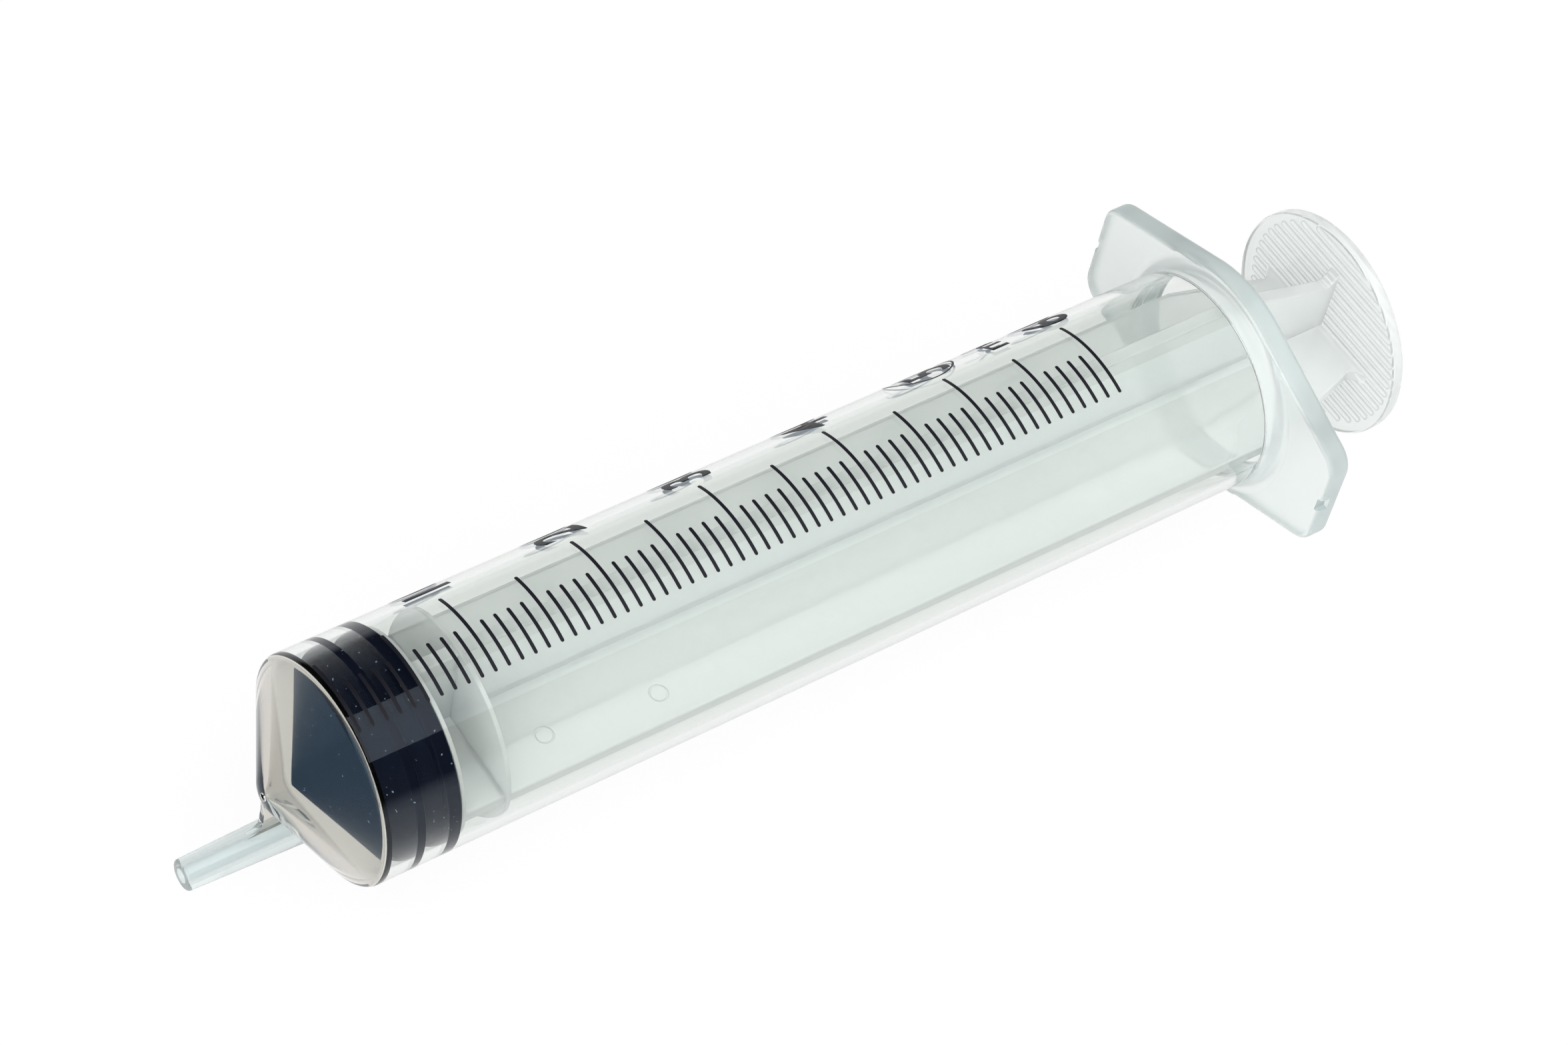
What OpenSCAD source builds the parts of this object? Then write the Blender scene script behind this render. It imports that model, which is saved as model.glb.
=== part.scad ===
// Disposable syringe with an off-centre slip nozzle, a ribbed rubber stopper
// and a cross-ribbed plunger. The barrel's axis lies along X, with the nozzle
// towards -X and the thumb rest towards +X. The barrel lies on its flange.

/* [Barrel] */
// Diameter of the bore
bore_d = 26.72; // [22:0.02:32]
// Wall of the tube
tube_wall = 1.05; // [0.8:0.05:1.6]
// Wall of the conical front
front_wall = 1.5; // [1.3:0.1:2]
// Slope of the conical front, in degrees from square to the axis
cone_angle = 30; // [24:1:36]
// Rounding of the front's outer peak
peak_r = 5; // [3:0.5:6.5]
// Rounding of the outer shoulder, where the front meets the tube
shoulder_r = 1.1; // [0.6:0.1:1.8]
// Plain tube between the last line of the scale and the flange
tail_len = 20.77; // [14:0.01:40]

/* [Nozzle] */
// Drop of the nozzle's axis below the barrel's axis
nozzle_drop = 9; // [7.5:0.1:9.6]
// Length of the nozzle, from the front wall to the tip
nozzle_len = 14.3; // [12:0.1:17]
// Diameter of the nozzle at its tip
tip_d = 3.95; // [3.7:0.01:4.2]
// Diameter that the nozzle gains, as a share of the distance from its tip
taper_share = 0.06; // [0.04:0.01:0.08]
// Diameter of the passage through the nozzle
lumen_d = 1.9; // [1.4:0.1:2.2]
// Rounding of the tip's outer edge
tip_edge_r = 0.4; // [0.2:0.05:0.5]
// Thickness of the web between the nozzle and the front
web_t = 0.9; // [0.6:0.1:1.4]
// Step from the front's peak back to the web's edge
web_setback = 0.25; // [0.15:0.05:0.6]
// Fillet where the web's edge runs out along the nozzle
web_fillet_r = 1.8; // [1:0.1:2.4]

/* [Flange] */
// Span across both finger wings
flange_span = 47.72; // [42:0.02:56]
// Thickness of the flange
flange_t = 3.15; // [2.4:0.05:4]
// Width of a wing at its end
wing_w = 17.2; // [12:0.1:22]
// Corner radius of the wings
wing_corner_r = 3.45; // [2:0.05:5]
// How far the flange stands out past the tube, above and below
flange_lip = 1.39; // [1.1:0.01:2.4]
// Rounding of the flange's rim
rim_r = 0.7; // [0.3:0.05:1]
// Fillet between the tube and the flange
flare_r = 2; // [1:0.1:2.6]
// Width of the notch in the middle of each wing's end
notch_w = 2; // [1:0.1:4]
// Depth of the notch in each wing's end
notch_depth = 0.7; // [0.4:0.05:1.2]
// Height of the bead that keeps the plunger in
bead_h = 0.35; // [0.32:0.01:0.5]
// Width of the bead
bead_w = 1.4; // [1:0.1:2]
// Distance from the bead to the flange's front face
bead_back = 0.45; // [0.2:0.05:2]
// Lead-in at the open end of the bore
lead_in = 0.5; // [0.3:0.05:0.9]

/* [Scale] */
// Number of spaces on the scale, one for each millilitre
line_count = 60; // [40:5:60]
// Spacing of the lines, which is 1000 cubic millimetres over the bore's area
line_pitch = 1.783; // [1.4:0.001:2.4]
// Width of a printed line
line_w = 0.45; // [0.3:0.05:0.7]
// Length of a line for one millilitre
short_line = 6.65; // [5:0.05:9]
// Length of a line for five millilitres
middle_line = 10.64; // [9:0.01:11.5]
// Length of a line for ten millilitres
long_line = 12.79; // [11:0.01:16]
// Turn of the lines' common ends past the top of the barrel, in degrees
scale_turn = 20.3; // [10:0.1:30]
// Thickness of the ink
ink_t = 0.03; // [0.02:0.01:0.04]

/* [Stopper] */
// Distance that the plunger is drawn back from fully in
drawn_back = 3.2; // [1:0.1:60]
// Width of the front sealing rib
front_rib_w = 1.35; // [1:0.05:2]
// Width of the groove between the sealing ribs
groove_w = 2.7; // [1.8:0.1:4]
// Depth of the groove between the sealing ribs
groove_depth = 0.9; // [0.5:0.05:1.4]
// Width of the rear sealing rib
rear_rib_w = 2; // [1.6:0.1:3]
// Rounding of the sealing ribs' edges
rib_edge_r = 0.3; // [0.1:0.05:0.45]
// Thickness of the stopper's conical face
face_t = 2.2; // [1.6:0.1:2.6]
// Rounding of the stopper's peak and of the hollow that it fits
inner_peak_r = 0.5; // [0.3:0.1:1.5]
// Thickness of the lip that holds the plunger's head
lip_t = 1.5; // [1.2:0.1:1.9]
// Opening of that lip
lip_d = 16.5; // [14:0.1:18]
// How far the plunger's head catches behind the lip
catch = 1.2; // [0.8:0.1:1.6]

/* [Plunger] */
// Thickness of the crossed ribs
cross_t = 1.8; // [1.4:0.1:2.6]
// Thickness of the two guide discs
disc_t = 0.6; // [0.5:0.05:1.2]
// Spacing of the guide discs
disc_pitch = 6; // [4:0.1:10]
// Width of the crossed ribs at the waist before the thumb rest
waist_w = 17; // [13:0.1:19]
// Radius of the finger notch at the waist
waist_r = 3; // [2.9:0.1:4.5]
// Distance from the middle of the waist to the thumb rest
waist_back = 2.8; // [2:0.1:2.9]
// Distance from the thumb rest to where the ribs start to narrow
narrowing_len = 15; // [12:0.1:20]
// Distance from the flange to the thumb rest with the plunger fully in
thumb_clear = 11.75; // [9:0.05:16]
// Diameter of the thumb rest
thumb_d = 30.1; // [26:0.1:31]
// Thickness of the thumb rest
thumb_t = 1.7; // [1.3:0.05:2.4]
// Rounding of the thumb rest's rim
thumb_edge_r = 0.35; // [0.2:0.05:0.6]
// Plain margin round the ridged field on the thumb rest
ridge_margin = 1.35; // [0.8:0.05:3]
// Spacing of the ridges
ridge_pitch = 1.55; // [1.3:0.05:2.2]
// Width of a ridge
ridge_w = 0.8; // [0.5:0.05:1]
// Height of a ridge
ridge_h = 0.35; // [0.2:0.05:0.6]

/* [Fits] */
// Gap between a sealing rib and the bore
seal_gap = 0.05; // [0.02:0.01:0.1]
// Gap between the stopper's cone and the front when fully in
front_gap = 0.1; // [0.05:0.05:0.4]
// Gap between a guide disc and the bore
disc_gap = 0.26; // [0.2:0.01:0.3]
// Gap between the crossed ribs and the bore
cross_gap = 0.56; // [0.5:0.01:0.9]
// Gap all round the plunger's head in the stopper
snap_gap = 0.08; // [0.04:0.01:0.1]
// Gap between the ink and the tube
ink_gap = 0.01; // [0.01:0.01:0.03]

/* [Hidden] */
$fn = 96;
arc_steps = 6;
hull_fn = 32;
overrun = 1;
bore_r = bore_d / 2;
tube_r = bore_r + tube_wall;
cone_rise = tan(cone_angle);
cone_secant = 1 / cos(cone_angle);
line_every = 5;
long_every = 10;

// Stations along the axis, measured from the inner shoulder of the barrel,
// where the first line of the scale lies
inner_point_x = -bore_r * cone_rise;
outer_point_x = inner_point_x - front_wall * cone_secant;
peak_x = outer_point_x + peak_r * (cone_secant - 1);
nozzle_root_x = outer_point_x + nozzle_drop * cone_rise;
tip_x = nozzle_root_x - nozzle_len;
tube_len = line_count * line_pitch + tail_len;
flange_rear_x = tube_len + flange_t;
flange_r = tube_r + flange_lip;
bead_x = tube_len - bead_back - bead_w;
stopper_point_x = inner_point_x + front_gap + drawn_back;
stopper_r = bore_r - seal_gap;
front_rib_x = stopper_point_x + stopper_r * cone_rise;
groove_x = front_rib_x + front_rib_w;
rear_rib_x = groove_x + groove_w;
stopper_end_x = rear_rib_x + rear_rib_w;
lip_r = lip_d / 2;
cavity_r = lip_r + catch;
cavity_point_x = stopper_point_x + face_t * cone_secant;
lip_x = stopper_end_x - lip_t;
front_disc_x = stopper_end_x + snap_gap;
rear_disc_x = front_disc_x + disc_pitch;
disc_r = bore_r - disc_gap;
cross_half_w = bore_r - cross_gap;
thumb_x = flange_rear_x + thumb_clear + drawn_back;
thumb_r = thumb_d / 2;
thumb_end_x = thumb_x + thumb_t + ridge_h;
middle_x = (tip_x + thumb_end_x) / 2;

// Points of an arc about (cx, cy) from angle a0 to angle a1
function arc(cx, cy, r, a0, a1) =
    [for (i = [0:arc_steps]) let (a = a0 + (a1 - a0) * i / arc_steps) [cx + r * cos(a), cy + r * sin(a)]];

// Rounded peak of a cone: radius and station pairs from the axis to the slope
function cone_peak(point_x, r) = arc(0, point_x + r * cone_secant, r, -90, cone_angle - 90);

// Stands a shape that was drawn along Z on the syringe's own axis, so that
// its Z runs along +X and its X points down
module along_axis() translate([-middle_x, 0, flange_r]) rotate([0, 90, 0]) children();

// Disc from station 0 to t, with both edges rounded
module rounded_disc(r, t, edge_r) {
    lower = arc(r - edge_r, edge_r, edge_r, -90, 0);
    upper = arc(r - edge_r, t - edge_r, edge_r, 0, 90);
    rotate_extrude() polygon(concat([[0, 0]], lower, upper, [[0, t]]));
}

// Solid outside of the tube with its conical front
module tube_outside() {
    shoulder_x = outer_point_x + (tube_r - shoulder_r) * cone_rise + shoulder_r * cone_secant;
    shoulder = arc(tube_r - shoulder_r, shoulder_x, shoulder_r, cone_angle - 90, 0);
    rotate_extrude() polygon(concat(
        cone_peak(outer_point_x, peak_r),
        shoulder,
        [[tube_r, flange_rear_x - rim_r], [0, flange_rear_x - rim_r]]
    ));
}

// What the bore takes out: the hollow cone, the bore with its bead, and the
// lead-in at the open end
module bore_hollow() {
    bead_arc_r = (bead_h * bead_h + bead_w * bead_w / 4) / (2 * bead_h);
    bead_half = asin(bead_w / 2 / bead_arc_r);
    bead = arc(bore_r - bead_h + bead_arc_r, bead_x + bead_w / 2, bead_arc_r, 180 + bead_half, 180 - bead_half);
    rotate_extrude() polygon(concat(
        cone_peak(inner_point_x, inner_peak_r),
        [[bore_r, 0]],
        bead,
        [
            [bore_r, flange_rear_x - lead_in],
            [bore_r + lead_in + overrun, flange_rear_x + overrun],
            [0, flange_rear_x + overrun]
        ]
    ));
}

// Outside of the tapered nozzle, from its tip to well inside the front wall
module nozzle_outside() {
    tip_r = tip_d / 2;
    length = nozzle_len + nozzle_drop * cone_rise;
    root_r = tip_r + length * taper_share / 2;
    tip_edge = arc(tip_r - tip_edge_r, tip_edge_r, tip_edge_r, -90, 0);
    translate([nozzle_drop, 0, tip_x])
        rotate_extrude() polygon(concat([[0, 0]], tip_edge, [[root_r, length], [0, length]]));
}

// Web that ties the nozzle to the front, in the plane through both axes
module nozzle_web() {
    edge_x = peak_x + web_setback;
    nozzle_top = nozzle_drop - tip_d / 2 - (edge_x - tip_x) * taper_share / 2;
    fillet = arc(nozzle_top - web_fillet_r, edge_x - web_fillet_r, web_fillet_r, 90, 0);
    rotate([90, 0, 0])
        linear_extrude(web_t, center = true)
            polygon(concat(
                [[0, edge_x]],
                fillet,
                [[nozzle_drop, edge_x - web_fillet_r], [nozzle_drop, nozzle_root_x], [0, nozzle_root_x]]
            ));
}

// Finger flange: a round middle and two wings with round corners
module flange_plate() {
    corner_y = flange_span / 2 - wing_corner_r;
    corner_x = wing_w / 2 - wing_corner_r;
    translate([0, 0, tube_len])
        hull() {
            rounded_disc(flange_r, flange_t, rim_r);
            for (sx = [-1, 1], sy = [-1, 1])
                translate([sx * corner_x, sy * corner_y, 0])
                    rounded_disc(wing_corner_r, flange_t, rim_r, $fn = hull_fn);
        }
}

// Fillet between tube and flange, cut off above and below at the flange's lip
module flange_flare() {
    fillet = arc(tube_r + flare_r, tube_len - flare_r, flare_r, 180, 90);
    intersection() {
        rotate_extrude() polygon(concat(
            fillet,
            [[tube_r + flare_r, tube_len + rim_r], [bore_r, tube_len + rim_r], [bore_r, tube_len - flare_r]]
        ));
        union() {
            cylinder(r = flange_r, h = flange_rear_x);
            translate([-wing_w / 2, -flange_span / 2, 0])
                cube([wing_w, flange_span, flange_rear_x]);
        }
    }
}

// Small notch in the front half of each wing's end
module wing_notches() {
    for (side = [-1, 1])
        translate([-notch_w / 2, side * flange_span / 2 - notch_depth, tube_len - overrun])
            cube([notch_w, 2 * notch_depth, overrun + flange_t / 2]);
}

module barrel() {
    color([0.86, 0.89, 0.88, 0.4])
        along_axis()
            difference() {
                union() {
                    tube_outside();
                    nozzle_outside();
                    nozzle_web();
                    flange_plate();
                    flange_flare();
                }
                bore_hollow();
                translate([nozzle_drop, 0, tip_x - overrun])
                    cylinder(d = lumen_d, h = nozzle_len + nozzle_drop * cone_rise);
                wing_notches();
            }
}

// Length of the line that stands for a number of millilitres
function line_len(ml) =
    ml == 0 ? middle_line : ml % long_every == 0 ? long_line : ml % line_every == 0 ? middle_line : short_line;

// One printed line round the tube, from the common end upwards
module printed_line(ml) {
    ink_r = tube_r + ink_gap;
    span = line_len(ml) / tube_r * 180 / PI;
    translate([0, 0, ml * line_pitch - line_w / 2])
        rotate([0, 0, 180 + scale_turn - span])
            rotate_extrude(angle = span) translate([ink_r, 0]) square([ink_t, line_w]);
}

module scale_lines() {
    color([0.1, 0.1, 0.14])
        along_axis()
            for (ml = [0:line_count]) printed_line(ml);
}

// Outside of the stopper, with its two sealing ribs
module stopper_outside() {
    groove_r = stopper_r - groove_depth;
    corner_angle = 90 - cone_angle;
    nose_drop = rib_edge_r * tan(corner_angle / 2);
    front_edge = arc(stopper_r - rib_edge_r, front_rib_x + nose_drop, rib_edge_r, cone_angle - 90, 0);
    front_back = arc(stopper_r - rib_edge_r, groove_x - rib_edge_r, rib_edge_r, 0, 90);
    rear_front = arc(stopper_r - rib_edge_r, rear_rib_x + rib_edge_r, rib_edge_r, -90, 0);
    rear_back = arc(stopper_r - rib_edge_r, stopper_end_x - rib_edge_r, rib_edge_r, 0, 90);
    rotate_extrude() polygon(concat(
        cone_peak(stopper_point_x, inner_peak_r),
        front_edge,
        front_back,
        [[groove_r, groove_x], [groove_r, rear_rib_x]],
        rear_front,
        rear_back,
        [[0, stopper_end_x]]
    ));
}

// Room for the plunger's head, behind the stopper's lip. Its outline is drawn
// in by the clearance to give the head itself.
module head_shape(gap, end_x) {
    point_x = cavity_point_x + gap * cone_secant;
    r = cavity_r - gap;
    rotate_extrude() polygon([
        [0, point_x],
        [r, point_x + r * cone_rise],
        [r, lip_x - gap],
        [lip_r - gap, lip_x - gap],
        [lip_r - gap, end_x],
        [0, end_x]
    ]);
}

module stopper() {
    color([0.1, 0.12, 0.16])
        along_axis()
            difference() {
                stopper_outside();
                head_shape(0, stopper_end_x + overrun);
            }
}

// Outline of one side of the crossed ribs: straight along the bore, narrowing
// to a round waist, and flaring to the thumb rest
function rib_side() =
    let (
        waist_x = thumb_x - waist_back,
        notch_y = waist_w / 2 + waist_r,
        start_x = thumb_x - narrowing_len,
        dx = waist_x - start_x,
        dy = notch_y - cross_half_w,
        slope = atan2(dy, dx) - asin(waist_r / norm([dx, dy])),
        end_angle = -acos(waist_back / waist_r)
    )
    concat([[cross_half_w, front_disc_x], [cross_half_w, start_x]],
        [for (p = arc(waist_x, notch_y, waist_r, slope - 90, end_angle)) [p[1], p[0]]]);

module crossed_ribs() {
    side = rib_side();
    top = thumb_x + thumb_t / 2;
    edge = concat(side, [[side[len(side) - 1][0], top]]);
    outline = concat(edge, [for (i = [len(edge) - 1:-1:0]) [-edge[i][0], edge[i][1]]]);
    for (turn = [0, 90])
        rotate([90, 0, turn]) linear_extrude(cross_t, center = true) polygon(outline);
}

// Thumb rest with a field of parallel ridges
module thumb_rest() {
    ridge_field_r = thumb_r - ridge_margin;
    side_ridges = floor((ridge_field_r - ridge_w) / ridge_pitch);
    translate([0, 0, thumb_x]) {
        rounded_disc(thumb_r, thumb_t, thumb_edge_r);
        intersection() {
            cylinder(r = ridge_field_r, h = thumb_t + ridge_h);
            for (i = [-side_ridges:side_ridges])
                translate([i * ridge_pitch - ridge_w / 2, -ridge_field_r, thumb_t / 2])
                    cube([ridge_w, 2 * ridge_field_r, thumb_t / 2 + ridge_h]);
        }
    }
}

module plunger_rod() {
    color([0.88, 0.92, 0.92])
        along_axis() {
            head_shape(snap_gap, front_disc_x + disc_t / 2);
            for (x = [front_disc_x, rear_disc_x]) translate([0, 0, x]) cylinder(r = disc_r, h = disc_t);
            crossed_ribs();
            thumb_rest();
        }
}

barrel();
scale_lines();
stopper();
plunger_rod();
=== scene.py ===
"""Models a disposable slip-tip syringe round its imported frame: the clear barrel,
its printed scale, the rubber stopper, the plunger, and a white studio."""
import math
from contextlib import contextmanager
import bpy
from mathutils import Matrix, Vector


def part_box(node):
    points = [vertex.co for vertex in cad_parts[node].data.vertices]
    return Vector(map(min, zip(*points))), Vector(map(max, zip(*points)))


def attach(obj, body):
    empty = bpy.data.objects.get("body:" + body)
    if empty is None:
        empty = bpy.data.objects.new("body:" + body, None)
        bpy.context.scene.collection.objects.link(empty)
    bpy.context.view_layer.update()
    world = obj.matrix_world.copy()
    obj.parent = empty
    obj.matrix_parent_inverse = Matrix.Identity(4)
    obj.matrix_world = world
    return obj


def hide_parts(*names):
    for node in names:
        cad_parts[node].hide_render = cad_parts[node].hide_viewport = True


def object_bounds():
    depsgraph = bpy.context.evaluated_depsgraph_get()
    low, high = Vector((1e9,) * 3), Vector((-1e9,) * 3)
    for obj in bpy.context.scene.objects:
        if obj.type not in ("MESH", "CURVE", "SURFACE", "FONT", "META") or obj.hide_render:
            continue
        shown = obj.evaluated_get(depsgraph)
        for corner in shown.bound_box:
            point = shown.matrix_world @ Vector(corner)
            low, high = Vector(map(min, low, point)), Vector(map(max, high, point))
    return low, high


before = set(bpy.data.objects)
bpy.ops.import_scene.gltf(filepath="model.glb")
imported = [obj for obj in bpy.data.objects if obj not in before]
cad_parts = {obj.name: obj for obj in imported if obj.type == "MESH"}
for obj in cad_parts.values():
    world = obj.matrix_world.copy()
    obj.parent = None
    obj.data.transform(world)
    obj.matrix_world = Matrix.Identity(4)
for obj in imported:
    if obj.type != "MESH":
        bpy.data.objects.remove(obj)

from types import SimpleNamespace

import bmesh
import bpy
from bpy.props import FloatProperty, FloatVectorProperty, IntProperty, PointerProperty
from mathutils import Quaternion, Vector

bl_info = {
    "name": "Slip-tip syringe",
    "version": (1, 0, 0),
    "blender": (4, 5, 0),
    "location": "3D View > Sidebar > Syringe",
    "description": "Models a disposable syringe with its printed scale, stopper and plunger",
    "category": "Add Mesh",
}

MM = 0.001
# Height of the built-in typeface's capitals and digits as a share of its size
CAPITAL_SHARE = 0.73
# Two places closer than this are taken as one plane
TOUCH = 0.01 * MM
# Edges shorter than this are left over from a cut
SLIVER = 0.002 * MM
# Distance at which a tool's own points are merged
WELD = 0.001 * MM
# Shift of the print's cuts, as a share of their spacing
CUT_SHIFT = 0.3
# How far a cutting solid stands out of what it cuts
OVERSHOOT = 1 * MM
# Places of the barrel's finishes in its list of materials
OUTSIDE, BORE, FLANGE, FRONT, NOZZLE, RIM, FLARE = range(7)
# A face turned less than this towards the axis' direction belongs to a rim
SIDEWAYS = 0.7
# Refractive index of polypropylene
PLASTIC_IOR = 1.49

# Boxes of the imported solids, from which the pieces take their places
CAD_LOW, CAD_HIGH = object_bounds()
BARREL_LOW, BARREL_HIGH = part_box("barrel")
STOPPER_LOW, STOPPER_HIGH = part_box("stopper")
PLUNGER_LOW, PLUNGER_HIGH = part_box("plunger_rod")
AXIS_Z = (PLUNGER_LOW.z + PLUNGER_HIGH.z) / 2


def length(name, description, mm):
    """A length with its default in millimetres."""
    return FloatProperty(name=name, description=description, default=mm * MM, unit="LENGTH", precision=5)


def angle(name, description, degrees):
    """An angle with its default in degrees."""
    return FloatProperty(name=name, description=description, default=math.radians(degrees), subtype="ANGLE")


def factor(name, description, value):
    """A plain number between 0 and 1."""
    return FloatProperty(name=name, description=description, default=value, min=0, max=1, subtype="FACTOR")


def linear(hex_colour):
    """Turns an sRGB hex colour into linear red, green and blue."""
    parts = [int(hex_colour[i:i + 2], 16) / 255 for i in (1, 3, 5)]
    return tuple(c / 12.92 if c <= 0.04045 else ((c + 0.055) / 1.055) ** 2.4 for c in parts)


def colour(name, description, hex_colour):
    """A colour with its default as an sRGB hex value."""
    return FloatVectorProperty(
        name=name, description=description, default=linear(hex_colour), size=3, min=0, max=1, subtype="COLOR")


class BarrelSizes(bpy.types.PropertyGroup):
    """Sizes of the barrel moulding."""
    bore_radius: length("Bore radius", "Radius of the bore", 13.36)
    tube_wall: length("Tube wall", "Wall of the tube", 1.05)
    front_wall: length("Front wall", "Wall of the conical front", 1.5)
    cone_angle: angle("Cone angle", "Slope of the front, from square to the axis", 30)
    peak_radius: length("Outer peak", "Rounding of the front's outer peak", 5)
    inner_peak_radius: length("Inner peak", "Rounding of the front's inner peak", 0.5)
    shoulder_radius: length("Shoulder", "Rounding between the front and the tube", 1.1)
    flange_thickness: length("Flange thickness", "Thickness of the finger flange", 3.15)
    tube_length: length("Tube length", "From the inner shoulder to the flange", 127.75)
    wing_width: length("Wing width", "Width of a wing at its end", 17.2)
    wing_corner: length("Wing corner", "Corner radius of the wings", 3.45)
    rim_rounding: length("Rim rounding", "Rounding of the flange's rim", 0.7)
    flare_radius: length("Flare", "Fillet between the tube and the flange", 2)
    flare_inset: length("Flare inset", "How far the cut-off flare stays inside the flange's outline", 0.21)
    flare_sink: length("Flare sink", "How far the flare sinks into the flange", 0.004)
    notch_width: length("Notch width", "Width of the notch in each wing's end", 2)
    notch_depth: length("Notch depth", "Depth of the notch in each wing's end", 0.7)
    bead_height: length("Bead height", "Height of the bead that keeps the plunger in", 0.35)
    bead_width: length("Bead width", "Width of that bead", 1.4)
    bead_back: length("Bead distance", "From the bead to the flange's front face", 0.45)
    lead_in: length("Lead-in", "Chamfer at the open end of the bore", 0.5)
    nozzle_drop: length("Nozzle drop", "Nozzle's axis below the barrel's axis", 9)
    tip_radius: length("Tip radius", "Radius of the nozzle at its tip", 1.975)
    tip_rounding: length("Tip rounding", "Rounding of the tip's outer edge", 0.4)
    lumen_radius: length("Passage radius", "Radius of the passage through the nozzle", 0.95)
    taper: factor("Taper", "Diameter that the nozzle gains along its length", 0.06)
    web_thickness: length("Web thickness", "Web between the nozzle and the front", 0.9)
    web_setback: length("Web setback", "Step from the front's peak to the web's edge", 0.25)
    web_fillet: length("Web fillet", "Fillet where the web runs out on the nozzle", 1.8)
    gate_radius: length("Gate radius", "Radius of the gate's mark at the peak", 0.55)
    gate_depth: length("Gate depth", "Depth of the gate's mark", 0.4)


class ScaleSizes(bpy.types.PropertyGroup):
    """Sizes of the printed scale."""
    pitch: length("Line pitch", "Spacing of the one-millilitre lines", 1.783)
    count: IntProperty(name="Spaces", description="Number of spaces on the scale", default=60)
    middle_every: IntProperty(name="Middle lines", description="Millilitres from one to the next", default=5)
    number_every: IntProperty(name="Numbers", description="Millilitres from one to the next", default=10)
    nominal: IntProperty(name="Nominal", description="Number with the circle, the nominal volume", default=50)
    line_width: length("Line width", "Width of a printed line", 0.45)
    short_line: length("Short line", "Length of a one-millilitre line", 6.65)
    middle_line: length("Middle line", "Length of a five-millilitre line", 10.64)
    long_line: length("Long line", "Length of a ten-millilitre line", 12.79)
    turn: angle("Turn", "Common ends of the lines past the top of the barrel", 20.3)
    digit_height: length("Digit height", "Height of the numbers", 6.3)
    digit_gap: length("Digit gap", "From the long line's end to its number", 1.35)
    digit_weight: length("Digit weight", "How far the digits' outlines are thickened", 0.12)
    digit_narrowing: factor("Digit narrowing", "Width of the digits against the plain typeface", 1)
    unit_height: length("Unit height", "Height of the capital of the unit", 3.9)
    unit_widening: factor("Unit widening", "Width of the unit against the plain typeface", 1.3)
    circle_radius: length("Circle radius", "Circle round the nominal volume", 4.7)
    circle_line: length("Circle line", "Line width of that circle", 0.28)
    circle_gap: length("Circle gap", "From that circle to its number", 0.9)
    ink_depth: length("Ink depth", "Thickness of the ink, half of it in the surface", 0.04)
    strip: length("Strip", "Width of the strips that the print is cut into to roll it", 0.6)


class StopperSizes(bpy.types.PropertyGroup):
    """Sizes of the rubber stopper."""
    front_rib: length("Front rib", "Width of the front sealing rib", 1.35)
    groove: length("Groove", "Width of the groove between the ribs", 2.7)
    groove_depth: length("Groove depth", "Depth of that groove", 0.9)
    rear_rib: length("Rear rib", "Width of the rear sealing rib", 2)
    rib_rounding: length("Rib rounding", "Rounding of the sealing ribs", 0.3)
    squeeze: length("Squeeze", "How far a rib wets into the bore's wall", 0.015)
    face: length("Face", "Thickness of the conical face", 2.2)
    lip: length("Lip", "Thickness of the lip behind the plunger's head", 1.5)
    lip_radius: length("Lip radius", "Opening of that lip", 8.25)
    catch: length("Catch", "How far the cavity undercuts the lip", 1.2)


class PlungerSizes(bpy.types.PropertyGroup):
    """Sizes of the plunger rod."""
    snap_gap: length("Snap gap", "Gap all round the head in the stopper", 0.08)
    disc_gap: length("Disc gap", "Gap between a guide disc and the bore", 0.26)
    rib_gap: length("Rib gap", "Gap between the crossed ribs and the bore", 0.56)
    rib_thickness: length("Rib thickness", "Thickness of the crossed ribs", 1.8)
    disc_thickness: length("Disc thickness", "Thickness of the guide discs", 0.6)
    disc_rounding: length("Disc rim", "Rounding of the guide discs' rims", 0.15)
    rib_edge: length("Rib edge", "Rounding of the crossed ribs' long edges", 0.25)
    disc_pitch: length("Disc pitch", "Spacing of the guide discs", 6)
    waist_width: length("Waist width", "Width of the ribs at the waist", 17)
    waist_radius: length("Waist radius", "Radius of the waist's notch", 3)
    waist_back: length("Waist distance", "From the waist to the thumb rest", 2.8)
    waist_sink: length("Waist sink", "How far the waist's arc runs on into the thumb rest", 0.05)
    narrowing: length("Narrowing", "Length over which the ribs narrow", 15)
    thumb_thickness: length("Thumb rest", "Thickness of the thumb rest", 1.7)
    thumb_rounding: length("Thumb rim", "Rounding of the thumb rest's rim", 0.35)
    mark_radius: length("Mark radius", "Radius of the ejector pins' marks", 1.1)
    mark_groove: length("Mark groove", "Depth of the groove round a mark", 0.15)
    mark_start: length("Mark start", "From the rear guide disc to the first mark", 8.3)
    mark_pitch: length("Mark pitch", "Spacing of the marks", 15)
    mark_side: length("Mark side", "From the axis to the first mark", 8.1)
    mark_shift: length("Mark shift", "How much further out the second mark lies", 1.2)
    ridge_margin: length("Ridge margin", "Plain margin round the ridged field", 1.35)
    ridge_pitch: length("Ridge pitch", "Spacing of the ridges", 1.55)
    ridge_width: length("Ridge width", "Width of a ridge", 0.8)
    ridge_height: length("Ridge height", "Height of a ridge", 0.35)
    ridge_sink: length("Ridge sink", "How far a ridge sinks into the thumb rest", 0.3)
    ridge_end: factor("Ridge end", "Rounding of a ridge's ends against its width", 0.45)
    ridge_crest: factor("Ridge crest", "Rounding of a ridge's crest against its height", 0.5)


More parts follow.
